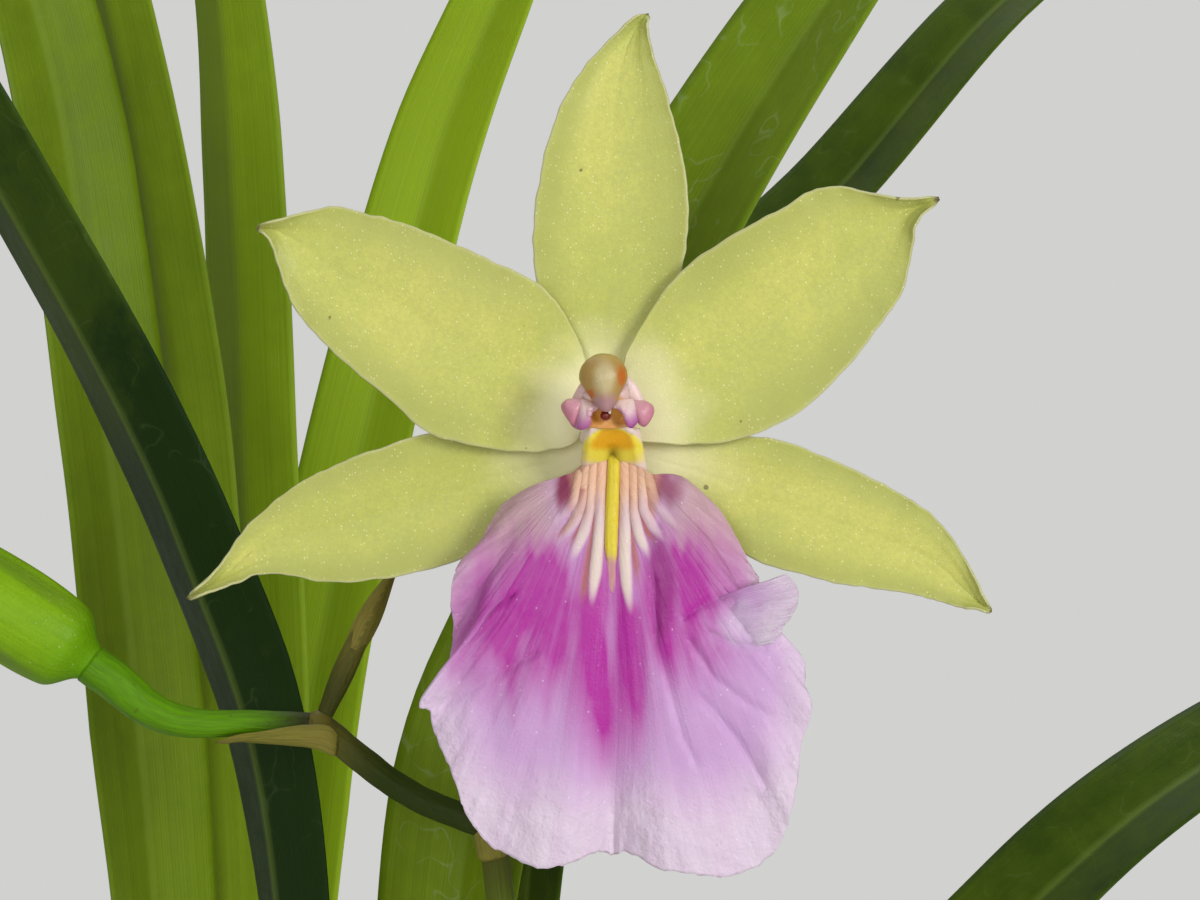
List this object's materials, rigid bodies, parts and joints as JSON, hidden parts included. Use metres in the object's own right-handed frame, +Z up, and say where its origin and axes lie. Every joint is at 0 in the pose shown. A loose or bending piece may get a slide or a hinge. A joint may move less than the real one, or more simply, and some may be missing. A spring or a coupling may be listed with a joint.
{
  "type": "potted orchid plant",
  "caption": "Orchid with strap leaves and pseudobulbs in a round clay pot of bark, with one open pale yellow bloom with a mauve lip, and a bud, on an arching stalk.",
  "frame": {"origin": "centre of the pot's flat underside", "axes": "+Z up along the pot's axis; the open bloom faces -Y and its bud is towards -X"},
  "size_m": [0.2878, 0.2888, 0.4383],
  "materials": {
    "clay": "matte",
    "bark": "matte",
    "root": "matte",
    "bulb": "satin",
    "leaf": "satin",
    "stalk": "satin",
    "bud": "satin",
    "tepal": "satin",
    "lip": "satin",
    "column": "satin",
    "cap": "satin"
  },
  "bodies": {
    "root": {"pot": "clay", "potting_bark": "bark", "rhizome_and_roots": "root", "pseudobulb_front": "bulb", "pseudobulb_middle": "bulb", "pseudobulb_left": "bulb", "pseudobulb_back": "bulb", "pseudobulb_right": "bulb", "leaf_front_left": "leaf", "leaf_front_right": "leaf", "leaf_middle_up": "leaf", "leaf_middle_right": "leaf", "leaf_left_out": "leaf", "leaf_left_in": "leaf", "leaf_back_left": "leaf", "leaf_back_right": "leaf", "leaf_right_back": "leaf", "leaf_right_front": "leaf", "leaf_base_back_left": "leaf", "leaf_base_left": "leaf", "leaf_base_back": "leaf", "leaf_base_right": "leaf", "leaf_base_far_back": "leaf", "young_shoot": "leaf", "flower_stalk": "stalk", "bloom_pedicel": "stalk", "bud_pedicel": "stalk", "bud": "bud", "dorsal_sepal": "tepal", "petal_left": "tepal", "petal_right": "tepal", "lateral_sepal_left": "tepal", "lateral_sepal_right": "tepal", "lip": "lip", "column": "column", "anther_cap": "cap"}
  },
  "joints": []
}
